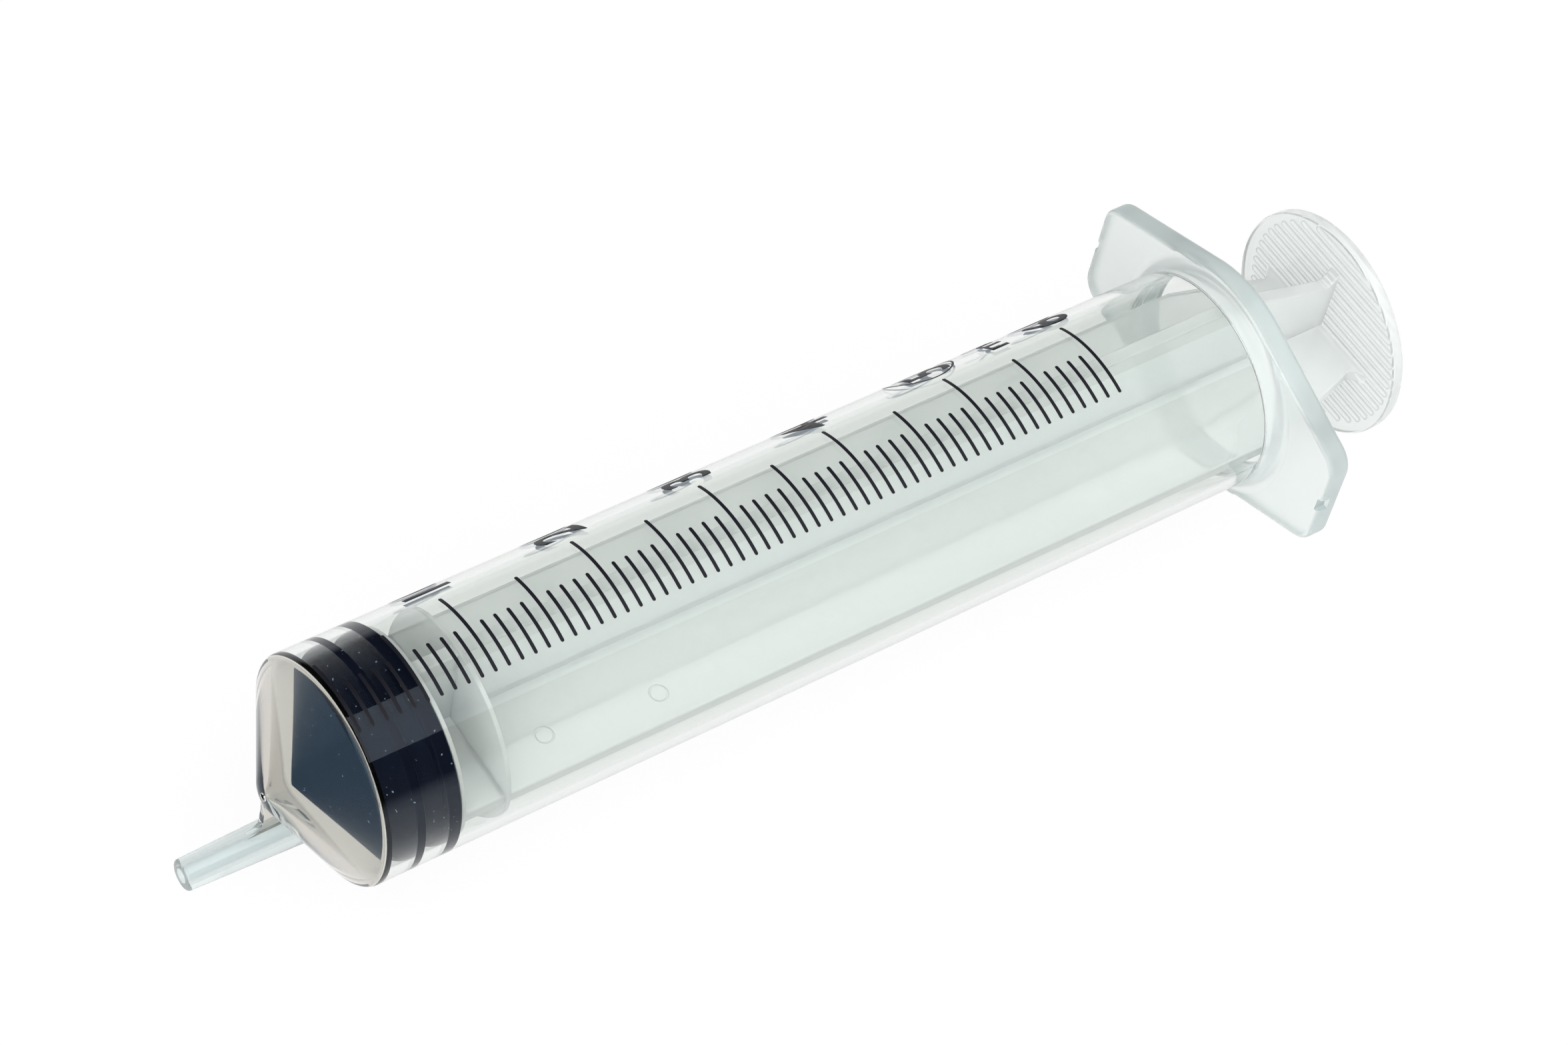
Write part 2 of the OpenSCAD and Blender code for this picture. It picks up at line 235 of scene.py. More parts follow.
class Finishes(bpy.types.PropertyGroup):
    """Colours of the finishes."""
    barrel_tint: colour("Barrel tint", "Clear polypropylene seen through its wall", "#F0F3F1")
    front_tint: colour("Front tint", "Polypropylene of the conical front, seen from inside", "#CFCBC3")
    outer_sheen: colour("Outer sheen", "Tint of the tube's outer reflections", "#CAD6E2")
    bore_sheen: colour("Bore sheen", "Tint of the bore's reflections", "#2C3C52")
    front_sheen: colour("Front sheen", "Tint of the conical front's reflections", "#88C0F0")
    flange_tint: colour("Flange tint", "Thick polypropylene of the flange", "#E2E8E7")
    # Painted shade: the rim is the flange's own plastic, given a darker tint on its edgewise faces
    rim_tint: colour("Rim painted shade", "Flange's rim, where light leaves edgewise", "#C4CFCE")
    nozzle_tint: colour("Nozzle tint", "Polypropylene of the nozzle", "#DBE2E2")
    plunger_tint: colour("Plunger tint", "Milky polypropylene", "#F8FBFA")
    rubber: colour("Rubber", "Black rubber", "#090F1E")
    dust: colour("Dust", "Specks on the rubber", "#7C8CA0")
    ink: colour("Ink", "Scale ink", "#12121E")
    # Painted reflection: a pale blue for the ink's underside, whose mirror image in the bore gives each number its
    # blue-grey ghost
    ink_back: colour("Ink underside, painted reflection", "Scale ink seen through the wall", "#5A7A92")
    floor: colour("Floor", "Studio floor", "#F4F4F4")


class StudioSizes(bpy.types.PropertyGroup):
    """Camera and lamps."""
    lens: FloatProperty(name="Lens", description="Focal length on a 36 mm sensor", default=106.572)
    sensor: FloatProperty(name="Sensor", description="Sensor width", default=36)
    camera_x: length("Camera X", "Camera's place along the barrel", -245.1)
    camera_y: length("Camera Y", "Camera's place across the barrel", -240.08)
    camera_z: length("Camera Z", "Camera's height", 453.24)
    azimuth: angle("Azimuth", "Direction of view in the floor's plane, from +X", 44.784)
    dip: angle("Dip", "Direction of view below the horizon", 51.495)
    roll: angle("Roll", "Turn of the camera about its view", 14.256)
    box_x: length("Softbox X", "Softbox's place along the barrel", 250)
    box_reach: length("Softbox reach", "From the barrel's axis to the softbox", 600)
    box_bearing: angle("Softbox bearing", "Direction to the softbox, from +Y over the top", 107.1)
    box_width: length("Softbox width", "Softbox along the barrel", 500)
    box_depth: length("Softbox depth", "Softbox across the barrel", 470)
    box_power: FloatProperty(name="Softbox power", description="Power of the softbox in watts", default=1.15)
    fill_x: length("Fill X", "Fill lamp's place along the barrel", -550)
    fill_y: length("Fill Y", "Fill lamp's place across the barrel", -300)
    fill_z: length("Fill Z", "Fill lamp's height", 450)
    fill_size: length("Fill size", "Side of the square fill lamp", 800)
    fill_power: FloatProperty(name="Fill power", description="Power of the fill lamp in watts", default=3.4)
    floor_size: length("Floor size", "Side of the square floor", 4000)


def activate(piece):
    """Makes one piece the only selected and active object."""
    for item in bpy.context.selected_objects:
        item.select_set(False)
    piece.select_set(True)
    bpy.context.view_layer.objects.active = piece


@contextmanager
def edited(piece):
    """Opens a piece in edit mode with all of it selected, and closes it again."""
    activate(piece)
    bpy.ops.object.mode_set(mode="EDIT")
    bpy.ops.mesh.select_all(action="SELECT")
    yield
    bpy.ops.object.mode_set(mode="OBJECT")


def settle(piece):
    """Moves an object's place into its mesh."""
    activate(piece)
    bpy.ops.object.transform_apply(location=True, rotation=True, scale=True)


def arc(x, r, radius, start, end, steps=10):
    """Points of an arc as stations and radii, with its angles in degrees from outwards to +X."""
    turns = [math.radians(start + (end - start) * i / steps) for i in range(steps + 1)]
    return [(x + radius * math.sin(a), r + radius * math.cos(a)) for a in turns]


def trace(name, points):
    """Draws a chain of edges by extruding one vertex from point to point."""
    bpy.ops.mesh.primitive_plane_add(size=MM, location=points[0])
    piece = bpy.context.active_object
    piece.name = name
    piece.data.name = name
    with edited(piece):
        bpy.ops.mesh.select_mode(type="VERT")
        bpy.ops.mesh.merge(type="CENTER")
        for start, end in zip(points, points[1:]):
            bpy.ops.mesh.extrude_region_move(TRANSFORM_OT_translate={"value": end - start})
    return piece


def lathe(name, profile, steps=288, drop=0.0):
    """Spins a profile of stations and radii round an axis that lies drop below the barrel's axis."""
    centre = Vector((0, 0, AXIS_Z - drop))
    piece = trace(name, [centre + Vector((x, 0, r)) for x, r in profile])
    with edited(piece):
        bpy.ops.mesh.spin(steps=steps, angle=math.tau, center=centre, axis=(1, 0, 0))
        bpy.ops.mesh.select_all(action="SELECT")
        bpy.ops.mesh.remove_doubles(threshold=WELD)
        bpy.ops.mesh.normals_make_consistent(inside=False)
    settle(piece)
    return piece


def slab(name, outline, thickness):
    """Fills an outline of stations and heights over the axis, and extrudes it evenly across the XZ plane."""
    piece = trace(name, [Vector((x, -thickness / 2, AXIS_Z + z)) for x, z in outline])
    with edited(piece):
        bpy.ops.mesh.edge_face_add()
        bpy.ops.mesh.extrude_region_move(TRANSFORM_OT_translate={"value": (0, thickness, 0)})
        bpy.ops.mesh.select_all(action="SELECT")
        bpy.ops.mesh.normals_make_consistent(inside=False)
    settle(piece)
    return piece


def apply_modifier(piece, kind, **settings):
    """Adds a modifier to a piece, sets it and applies it."""
    activate(piece)
    bpy.ops.object.modifier_add(type=kind)
    modifier = piece.modifiers[-1]
    for key, value in settings.items():
        setattr(modifier, key, value)
    bpy.ops.object.modifier_apply(modifier=modifier.name)


def combine(piece, other, operation):
    """Joins, cuts or meets a piece with another one, which is used up."""
    apply_modifier(piece, "BOOLEAN", operation=operation, solver="EXACT", object=other)
    bpy.data.objects.remove(other)
    with edited(piece):
        bpy.ops.mesh.dissolve_degenerate(threshold=SLIVER)


def smooth(piece, degrees=32):
    """Shades a piece smooth, with creases where its faces turn by more than an angle."""
    activate(piece)
    bpy.ops.object.shade_smooth_by_angle(angle=math.radians(degrees))
    apply_modifier(piece, "WEIGHTED_NORMAL", mode="FACE_AREA_WITH_ANGLE", weight=100, keep_sharp=True)


def added(name):
    """Names the object that was just added and moves its place into its mesh."""
    piece = bpy.context.active_object
    piece.name = name
    settle(piece)
    return piece


def cylinder(name, radius, start, end, y=0.0, z=0.0, vertices=64):
    """Adds a cylinder along X between two stations, at a place across the barrel's axis."""
    bpy.ops.mesh.primitive_cylinder_add(
        vertices=vertices, radius=radius, depth=end - start,
        location=((start + end) / 2, y, AXIS_Z + z), rotation=(0, math.pi / 2, 0))
    return added(name)


def box(name, low, high):
    """Adds a box between two corners."""
    bpy.ops.mesh.primitive_cube_add(size=1, location=(low + high) / 2, scale=high - low)
    return added(name)


def join(first, others):
    """Joins objects into the first of them."""
    activate(first)
    for other in others:
        other.select_set(True)
    bpy.ops.object.join()
    return first


def add_node(tree, kind, settings=None, **links):
    """Adds a node, sets its attributes or input defaults, and links its inputs from output sockets."""
    node = tree.nodes.new(kind)
    for key, value in (settings or {}).items():
        if hasattr(node, key) and key not in node.inputs:
            setattr(node, key, value)
        else:
            node.inputs[key].default_value = value
    for key, socket in links.items():
        tree.links.new(socket, node.inputs[key.replace("_", " ")])
    return node


def empty_material(name):
    """Starts a material without nodes, and returns it with its tree."""
    material = bpy.data.materials.new(name)
    material.use_nodes = True
    material.node_tree.nodes.clear()
    return material, material.node_tree


def new_material(name, finish):
    """Starts a material from a principled shader with its constants, and returns both with their tree."""
    material, tree = empty_material(name)
    shader = add_node(tree, "ShaderNodeBsdfPrincipled", finish)
    add_node(tree, "ShaderNodeOutputMaterial", Surface=shader.outputs["BSDF"])
    return material, tree, shader


def rgba(rgb):
    """Adds full alpha to a colour."""
    return (*rgb, 1.0)


def remap(tree, value, source, target):
    """Socket of a value carried from one range to another, whose ends are numbers or sockets."""
    node = add_node(tree, "ShaderNodeMapRange", {"From Min": source[0], "From Max": source[1]}, Value=value)
    for key, end in zip(("To Min", "To Max"), target):
        if isinstance(end, bpy.types.NodeSocket):
            tree.links.new(end, node.inputs[key])
        else:
            node.inputs[key].default_value = end
    return node.outputs["Result"]


def calculate(tree, operation, *values):
    """Socket of what an operation makes of one or two sockets."""
    node = add_node(tree, "ShaderNodeMath", {"operation": operation})
    for socket, value in zip(node.inputs, values):
        tree.links.new(value, socket)
    return node.outputs["Value"]


def blend(tree, share, first, second):
    """Socket of two shaders mixed, with the second one's share given by a socket."""
    mix = add_node(tree, "ShaderNodeMixShader", Fac=share)
    tree.links.new(first, mix.inputs[1])
    tree.links.new(second, mix.inputs[2])
    return mix.outputs["Shader"]


def noise(tree, grain, detail):
    """Socket of a noise whose grains have a real width, fixed to the piece."""
    place = add_node(tree, "ShaderNodeTexCoord")
    pattern = add_node(tree, "ShaderNodeTexNoise", {"Scale": 1 / grain, "Detail": detail},
                       Vector=place.outputs["Object"])
    return pattern.outputs["Fac"]


def roughen(tree, shader, height, strength, depth):
    """Bends the surface's normals by a pattern of a real depth."""
    bump = add_node(tree, "ShaderNodeBump", {"Strength": strength, "Distance": depth}, Height=height)
    tree.links.new(bump.outputs["Normal"], shader.inputs["Normal"])


def barrel_stations(sizes):
    """Stations of the barrel along X, in the row's frame."""
    rise = math.tan(sizes.cone_angle)
    secant = 1 / math.cos(sizes.cone_angle)
    zero = BARREL_HIGH.x - sizes.flange_thickness - sizes.tube_length
    inner_point = zero - sizes.bore_radius * rise
    outer_point = inner_point - sizes.front_wall * secant
    return SimpleNamespace(
        rise=rise, secant=secant, zero=zero, inner_point=inner_point, outer_point=outer_point,
        peak=outer_point + sizes.peak_radius * (secant - 1), tip=BARREL_LOW.x,
        flange=BARREL_HIGH.x - sizes.flange_thickness, rear=BARREL_HIGH.x,
        tube_radius=sizes.bore_radius + sizes.tube_wall)


def cone_arc(point, radius, cone, steps=10):
    """Rounded peak of a cone whose slope meets the axis at a point: stations and radii from the axis out."""
    centre = point + radius / math.cos(cone)
    turns = [cone * i / steps for i in range(steps + 1)]
    return [(centre - radius * math.cos(a), radius * math.sin(a)) for a in turns]


def tube_outside(sizes, at):
    """Outside of the tube with its conical front and the flare before the flange."""
    cone = math.degrees(sizes.cone_angle)
    tube_radius = at.tube_radius
    corner = tube_radius - sizes.shoulder_radius
    shoulder_x = at.outer_point + corner * at.rise + sizes.shoulder_radius * at.secant
    profile = cone_arc(at.outer_point, sizes.peak_radius, sizes.cone_angle)
    profile += arc(shoulder_x, corner, sizes.shoulder_radius, cone - 90, 0)
    middle = (at.flange + at.rear) / 2
    profile += [(shoulder_x + sizes.shoulder_radius, tube_radius), (middle, tube_radius), (middle, 0)]
    return lathe("barrel", profile)


def bore_inside(sizes, at):
    """Solid that the bore takes out, with the bead and the lead-in at its open end."""
    half = sizes.bead_width / 2
    bead_radius = (sizes.bead_height ** 2 + half ** 2) / (2 * sizes.bead_height)
    spread = math.degrees(math.asin(half / bead_radius))
    bead_x = at.flange - sizes.bead_back - half
    bead_r = sizes.bore_radius - sizes.bead_height + bead_radius
    profile = cone_arc(at.inner_point, sizes.inner_peak_radius, sizes.cone_angle)
    profile += [(at.zero, sizes.bore_radius)]
    profile += arc(bead_x, bead_r, bead_radius, 180 + spread, 180 - spread)
    profile += [
        (at.rear - sizes.lead_in, sizes.bore_radius),
        (at.rear + sizes.lead_in, sizes.bore_radius + 2 * sizes.lead_in),
        (at.rear + sizes.lead_in, 0),
    ]
    return lathe("bore", profile)


def nozzle_outside(sizes, at):
    """Tapered nozzle, from its rounded tip to well inside the front wall."""
    tip = at.tip
    root = at.outer_point + sizes.nozzle_drop * at.rise + sizes.front_wall
    root_radius = sizes.tip_radius + (root - tip) * sizes.taper / 2
    profile = [(tip, 0)]
    profile += arc(tip + sizes.tip_rounding, sizes.tip_radius - sizes.tip_rounding, sizes.tip_rounding, -90, 0, 6)
    profile += [(root, root_radius), (root, 0)]
    return lathe("nozzle", profile, 192, sizes.nozzle_drop)


def nozzle_web(sizes, at):
    """Web that ties the nozzle to the front, in the plane through both axes."""
    edge = at.peak + sizes.web_setback
    top = -sizes.nozzle_drop + sizes.tip_radius + (edge - at.tip) * sizes.taper / 2
    fillet = arc(edge - sizes.web_fillet, top + sizes.web_fillet, sizes.web_fillet, 90, 180, 8)
    root = at.outer_point + sizes.nozzle_drop * at.rise
    outline = [(edge, 0)] + fillet
    outline += [(edge - sizes.web_fillet, -sizes.nozzle_drop), (root, -sizes.nozzle_drop), (root, 0)]
    return slab("web", outline, sizes.web_thickness)


def flange_outline(sizes, start, end, inset=0.0):
    """Flange's outline as a prism between two stations: the hull of a round middle and four corners."""
    middle_radius = AXIS_Z - BARREL_LOW.z - inset
    corner = sizes.wing_corner - inset
    y = BARREL_HIGH.y - sizes.wing_corner
    z = sizes.wing_width / 2 - sizes.wing_corner
    piece = cylinder("flange", middle_radius, start, end, vertices=192)
    corners = [cylinder("corner", corner, start, end, sy * y, sz * z) for sy in (-1, 1) for sz in (-1, 1)]
    join(piece, corners)
    with edited(piece):
        bpy.ops.mesh.convex_hull()
        bpy.ops.mesh.select_all(action="SELECT")
        bpy.ops.mesh.dissolve_limited(angle_limit=math.radians(0.2))
    return piece


def select_edges(piece, test):
    """Selects in edit mode the edges whose two ends pass a test."""
    bpy.ops.mesh.select_mode(type="EDGE")
    bpy.ops.mesh.select_all(action="DESELECT")
    mesh = bmesh.from_edit_mesh(piece.data)
    for edge in mesh.edges:
        if test(*[v.co for v in edge.verts]):
            edge.select_set(True)
    bmesh.update_edit_mesh(piece.data)


def flange_plate(sizes, at):
    """Finger flange with its rim rounded at both faces."""
    piece = flange_outline(sizes, at.flange, at.rear)
    with edited(piece):
        select_edges(piece, lambda a, b: abs(a.x - b.x) < TOUCH)
        bpy.ops.mesh.bevel(offset=sizes.rim_rounding, segments=6, profile=0.5, affect="EDGES", clamp_overlap=True)
    return piece


def flange_flare(sizes, at):
    """Fillet between tube and flange, cut off above and below at the flange's lip."""
    radius = at.tube_radius + sizes.flare_radius - sizes.flare_sink
    start = at.flange - sizes.flare_radius
    inside = sizes.bore_radius + sizes.tube_wall / 2
    back = at.flange + sizes.rim_rounding
    fillet = arc(start, radius, sizes.flare_radius, 180, 90, 10)
    profile = fillet + [(back, radius), (back, inside), (start, inside), fillet[0]]
    piece = lathe("flare", profile)
    trim = flange_outline(sizes, start - OVERSHOOT, back + OVERSHOOT, sizes.flare_inset)
    combine(piece, trim, "INTERSECT")
    return piece


def wing_notch(sizes, at, side):
    """Small notch in the front half of a wing's end."""
    end = side * BARREL_HIGH.y
    half = sizes.notch_width / 2
    reach = side * sizes.notch_depth
    ys = sorted((end - reach, end + reach))
    low = Vector((at.flange - OVERSHOOT, ys[0], AXIS_Z - half))
    high = Vector((at.flange + sizes.flange_thickness / 2, ys[1], AXIS_Z + half))
    return box("notch", low, high)


def paint_barrel(piece, sizes, at):
    """Sets each face's finish by its place; those that pass no test stay outside."""
    limit = sizes.bore_radius + 0.1 * sizes.tube_wall
    nozzle_limit = 2 * sizes.tip_radius
    for face in piece.data.polygons:
        centre = face.center
        radius = math.hypot(centre.y, centre.z - AXIS_Z)
        slope = at.inner_point + radius * at.rise
        nozzle_radius = math.hypot(centre.y, centre.z - AXIS_Z + sizes.nozzle_drop)
        if radius < limit and centre.x > at.zero:
            face.material_index = BORE
        elif centre.x > at.flange - TOUCH:
            # Faces turned edgewise on the rim take the darker tint, which is painted shade
            edgewise = abs(face.normal.x) < SIDEWAYS and radius > at.tube_radius
            face.material_index = RIM if edgewise else FLANGE
        elif centre.x > at.flange - sizes.flare_radius:
            face.material_index = FLARE
        elif nozzle_radius < nozzle_limit and centre.x < slope - sizes.front_wall / 2:
            face.material_index = NOZZLE
        elif centre.x < at.zero - sizes.shoulder_radius:
            face.material_index = FRONT


def build_barrel(sizes):
    """Barrel with its nozzle and flange as one closed moulding."""
    at = barrel_stations(sizes)
    piece = tube_outside(sizes, at)
    for part in (nozzle_outside, nozzle_web, flange_plate, flange_flare):
        combine(piece, part(sizes, at), "UNION")
    cuts = [
        bore_inside(sizes, at),
        cylinder("lumen", sizes.lumen_radius, at.tip - OVERSHOOT, at.zero, z=-sizes.nozzle_drop),
        wing_notch(sizes, at, -1),
        wing_notch(sizes, at, 1),
        cylinder("gate", sizes.gate_radius, at.peak - OVERSHOOT, at.peak + sizes.gate_depth, vertices=32),
    ]
    for cut in cuts:
        combine(piece, cut, "DIFFERENCE")
    smooth(piece)
    return piece


def dress(piece, *materials):
    """Gives a piece its materials in order, in place of those it has."""
    piece.data.materials.clear()
    for material in materials:
        piece.data.materials.append(material)


def let_lamps_through(tree, shader, tint):
    """Lets lamps shine through a clear wall, as they do through thin plastic."""
    rays = add_node(tree, "ShaderNodeLightPath")
    clear = add_node(tree, "ShaderNodeBsdfTransparent", {"Color": rgba(tint)})
    mixed = blend(tree, rays.outputs["Is Shadow Ray"], shader.outputs["BSDF"], clear.outputs["BSDF"])
    tree.links.new(mixed, tree.nodes["Material Output"].inputs["Surface"])


def barrel_material(place, tint, roughness, clarity, sheen=(1, 1, 1), ripple=0.0):
    """Polypropylene, injection moulded: clear with a faint grey-green body tint and the mould's soft waves."""
    material, tree, shader = new_material("Moulded polypropylene, " + place, {
        "Base Color": rgba(tint), "Roughness": roughness, "IOR": PLASTIC_IOR,
        "Specular Tint": rgba(sheen), "Transmission Weight": clarity})
    roughen(tree, shader, noise(tree, grain=9 * MM, detail=1.0), strength=0.15, depth=ripple)
    # A lamp's ray crosses up to four surfaces, and each takes its share of the tint
    let_lamps_through(tree, shader, [channel ** 0.25 for channel in tint])
    return material


class SYRINGE_OT_barrel(bpy.types.Operator):
    """Model the barrel with its nozzle and flange"""
    bl_idname = "syringe.barrel"
    bl_label = "Barrel"

    def execute(self, context):
        sizes = context.scene.syringe_barrel
        finish = context.scene.syringe_finishes
        piece = build_barrel(sizes)
        piece.name = "barrel_moulding"
        ripple = 0.008 * MM
        # Each with its tint, roughness and clarity, and where it mirrors, its sheen and ripple
        places = {
            OUTSIDE: barrel_material("polished outside", finish.barrel_tint, 0.03, 1.0, finish.outer_sheen, ripple),
            BORE: barrel_material("bore", finish.barrel_tint, 0.03, 1.0, finish.bore_sheen),
            FLANGE: barrel_material("thick flange", finish.flange_tint, 0.25, 0.5),
            FRONT: barrel_material("conical front", finish.front_tint, 0.03, 1.0, finish.front_sheen, ripple),
            NOZZLE: barrel_material("nozzle", finish.nozzle_tint, 0.1, 0.85),
            # The rim's darker tint is painted shade on the flange's plastic
            RIM: barrel_material("flange's rim", finish.rim_tint, 0.4, 0.4),
            FLARE: barrel_material("flare", finish.flange_tint, 0.25, 0.55),
        }
        dress(piece, *(places[place] for place in sorted(places)))
        paint_barrel(piece, sizes, barrel_stations(sizes))
        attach(piece, "barrel_body")
        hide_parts("barrel")
        return {"FINISHED"}


def rounded_bar(name, x, middle, span, width):
    """One flat printed line with round ends, drawn on the unrolled tube: along Y, centred on a station."""
    radius = width / 2
    ends = [(-span / 2 + radius, 180), (span / 2 - radius, 0)]
    steps = 6
    points = []
    for y, start in ends:
        for i in range(steps + 1):
            turn = math.radians(start + 180 * i / steps)
            points.append(Vector((x + radius * math.cos(turn), middle + y + radius * math.sin(turn), 0)))
    piece = trace(name, points)
    with edited(piece):
        bpy.ops.mesh.edge_face_add()
    settle(piece)
    return piece


def print_lines(sizes, zero, low_edge):
    """All the lines of the scale on the unrolled tube, with their lower ends on one edge."""
    master = {}
    lines = []
    for ml in range(sizes.count + 1):
        span = sizes.short_line
        if ml % sizes.middle_every == 0:
            span = sizes.middle_line
        if ml and ml % sizes.number_every == 0:
            span = sizes.long_line
        if span not in master:
            master[span] = rounded_bar("line", 0, low_edge + span / 2, span, sizes.line_width)
        line = master[span].copy()
        line.data = master[span].data.copy()
        bpy.context.collection.objects.link(line)
        line.location.x = zero + ml * sizes.pitch
        settle(line)
        lines.append(line)
    for bar in master.values():
        bpy.data.objects.remove(bar)
    return lines


def print_word(body, x, y, height, weight, narrowing):
    """A number or unit on the unrolled tube, its tops towards -X, reading towards +Y from a baseline."""
    bpy.ops.object.text_add(location=(x, y, 0), rotation=(0, 0, math.pi / 2))
    word = bpy.context.active_object
    word.scale.x = narrowing
    word.data.body = body
    word.data.size = height / CAPITAL_SHARE
    word.data.offset = weight
    word.data.resolution_u = 8
    word.data.fill_mode = "FRONT"
    bpy.ops.object.convert(target="MESH")
    return added("word")


def ring(x, y, radius, width):
    """A thin printed circle on the unrolled tube."""
    bpy.ops.mesh.primitive_circle_add(vertices=72, radius=radius, location=(x, y, 0))
    piece = added("circle")
    with edited(piece):
        bpy.ops.mesh.edge_face_add()
        bpy.ops.mesh.select_mode(type="FACE")
        bpy.ops.mesh.inset(thickness=width, depth=0)
        bpy.ops.mesh.delete(type="FACE")
    return piece


def roll_round_tube(piece, radius, step):
    """Cuts flat print into narrow strips and rolls it round the tube, Y running round the top."""
    ys = [v.co.y for v in piece.data.vertices]
    # Off the whole steps, where the print has corners of its own
    cut = (math.floor(min(ys) / step) + CUT_SHIFT) * step
    with edited(piece):
        while cut < max(ys):
            bpy.ops.mesh.select_all(action="SELECT")
            bpy.ops.mesh.bisect(plane_co=(0, cut, 0), plane_no=(0, 1, 0), threshold=WELD)
            cut += step
    for vertex in piece.data.vertices:
        turn = vertex.co.y / radius
        vertex.co.y = radius * math.sin(turn)
        vertex.co.z = AXIS_Z + radius * math.cos(turn)


def ink_material(name, tint):
    """Pad-printing ink on polypropylene: blue-black, nearly matt, with the print's fine grain."""
    material, tree, shader = new_material(
        name, {"Base Color": rgba(tint), "Roughness": 0.5, "Specular IOR Level": 0.35})
    roughen(tree, shader, noise(tree, grain=0.25 * MM, detail=2.0), strength=0.15, depth=0.02 * MM)
    return material


class SYRINGE_OT_print(bpy.types.Operator):
    """Print the scale's lines, numbers and unit on the tube"""
    bl_idname = "syringe.print"
    bl_label = "Printed scale"

    def execute(self, context):
        sizes = context.scene.syringe_scale
        at = barrel_stations(context.scene.syringe_barrel)
        radius = at.tube_radius
        low_edge = -sizes.turn * radius
        parts = print_lines(sizes, at.zero, low_edge)
        number_y = low_edge + sizes.long_line + sizes.digit_gap
        for number in range(sizes.number_every, sizes.count + 1, sizes.number_every):
            x = at.zero + number * sizes.pitch
            y = number_y + (sizes.circle_gap if number == sizes.nominal else 0)
            parts.append(print_word(str(number), x + sizes.digit_height / 2, y, sizes.digit_height,
                                    sizes.digit_weight, sizes.digit_narrowing))
            if number == sizes.nominal:
                parts.append(ring(x, number_y + sizes.circle_radius - sizes.circle_line,
                                  sizes.circle_radius, sizes.circle_line))
                parts.append(print_word("mL", x + 2 * sizes.circle_radius + sizes.unit_height / 2, number_y,
                                        sizes.unit_height, sizes.digit_weight / 2, sizes.unit_widening))
        piece = join(parts[0], parts[1:])
        piece.name = "scale_print"
        roll_round_tube(piece, radius, sizes.strip)
        apply_modifier(piece, "SOLIDIFY", thickness=sizes.ink_depth, offset=0)
        finish = context.scene.syringe_finishes
        dress(piece, ink_material("Pad-printing ink", finish.ink),
              ink_material("Pad-printing ink underside, painted reflection tint", finish.ink_back))
        # The side that faces the wall is painted pale blue, so that its reflection in the bore shows as a blue-grey
        # ghost: painted reflection
        for face in piece.data.polygons:
            if face.normal.dot(face.center - Vector((face.center.x, 0, AXIS_Z))) < -radius / 2:
                face.material_index = 1
        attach(piece, "barrel_body")
        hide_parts("scale_lines")
        return {"FINISHED"}


def stopper_stations(sizes, barrel):
    """Stations of the stopper along X, worked out forwards from its rear end."""
    rear = STOPPER_HIGH.x
    rear_rib = rear - sizes.rear_rib
    groove = rear_rib - sizes.groove
    front_rib = groove - sizes.front_rib
    radius = (STOPPER_HIGH.y - STOPPER_LOW.y) / 2
    point = front_rib - radius * math.tan(barrel.cone_angle)
    cavity_point = point + sizes.face / math.cos(barrel.cone_angle)
    return SimpleNamespace(rear=rear, rear_rib=rear_rib, groove=groove, front_rib=front_rib,
                           point=point, cavity_point=cavity_point, lip=rear - sizes.lip)


def build_stopper(sizes, barrel):
    """Stopper with two sealing ribs, wetted against the bore, and the cavity behind its lip."""
    at = stopper_stations(sizes, barrel)
    cone = math.degrees(barrel.cone_angle)
    rounding = sizes.rib_rounding
    radius = barrel.bore_radius + sizes.squeeze
    top = radius - rounding
    bottom = radius - sizes.groove_depth + rounding
    nose = rounding * math.tan(math.radians((90 - cone) / 2))
    cavity = sizes.lip_radius + sizes.catch
    profile = cone_arc(at.point, barrel.inner_peak_radius, barrel.cone_angle)
    corners = [
        (at.front_rib + nose, top, cone - 90, 0), (at.groove - rounding, top, 0, 90),
        (at.groove + rounding, bottom, -90, -180), (at.rear_rib - rounding, bottom, 180, 90),
        (at.rear_rib + rounding, top, -90, 0), (at.rear - rounding, top, 0, 90),
    ]
    for x, r, start, end in corners:
        profile += arc(x, r, rounding, start, end, 5)
    profile += [
        (at.rear, sizes.lip_radius), (at.lip, sizes.lip_radius), (at.lip, cavity),
        (at.cavity_point + cavity * math.tan(barrel.cone_angle), cavity), (at.cavity_point, 0),
    ]
    piece = lathe("stopper_rubber", profile)
    smooth(piece)
    return piece


def rubber_material(finish):
    """Moulded isoprene rubber, wiped with silicone oil: black with a slate sheen and specks of dust."""
    material, tree, shader = new_material("Moulded isoprene rubber, oiled", {
        "Base Color": rgba(finish.rubber), "Roughness": 0.42, "Specular IOR Level": 0.03})
    # Only the noise's highest peaks are dust, so the specks are few and small
    specks = remap(tree, noise(tree, grain=0.4 * MM, detail=0.0), (0.8, 0.84), (0, 1))
    base = add_node(tree, "ShaderNodeMix", {"data_type": "RGBA"}, Factor=specks)
    # The mix node's colour sockets, behind those for numbers and vectors
    base.inputs[6].default_value = rgba(finish.rubber)
    base.inputs[7].default_value = rgba(finish.dust)
    tree.links.new(base.outputs[2], shader.inputs["Base Color"])
    # The oil lies unevenly, which breaks up the sheen
    film = noise(tree, grain=2.5 * MM, detail=2.0)
    tree.links.new(remap(tree, film, (0, 1), (0.32, 0.46)), shader.inputs["Roughness"])
    roughen(tree, shader, film, strength=0.1, depth=0.03 * MM)
    return material


